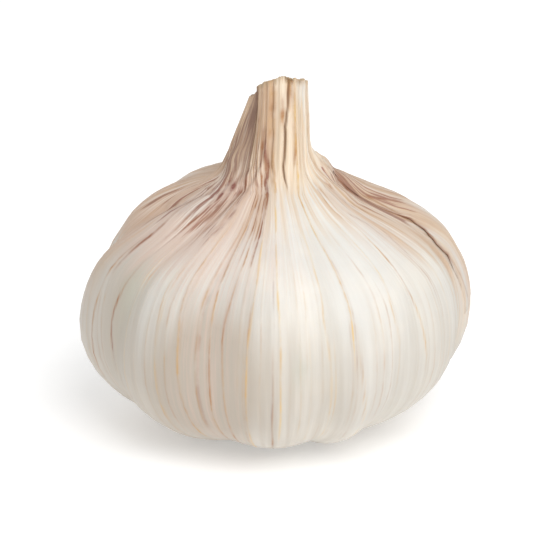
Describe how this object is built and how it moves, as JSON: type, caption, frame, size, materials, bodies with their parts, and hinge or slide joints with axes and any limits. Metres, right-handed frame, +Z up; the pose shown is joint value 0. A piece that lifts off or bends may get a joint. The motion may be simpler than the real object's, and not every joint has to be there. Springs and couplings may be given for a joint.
{
  "type": "garlic bulb",
  "caption": "Dried garlic bulb with lobed cloves under a papery skin, a cut neck with loose leaf sheaths, and a flat root plate that it stands on.",
  "frame": {"origin": "centre of the root plate's flat underside, on the surface that the bulb stands on", "axes": "+Z up along the neck, the front that the bulb shows faces -Y, +X to the viewer's right"},
  "size_m": [0.061, 0.0594, 0.0573],
  "materials": {
    "head_skin": "satin",
    "sheath": "matte",
    "outer_skin": "satin",
    "root_plate": "matte"
  },
  "bodies": {
    "root": {"head": "head_skin", "left_sheath": "sheath", "right_collar": "outer_skin", "root_plate": "root_plate"}
  },
  "joints": []
}
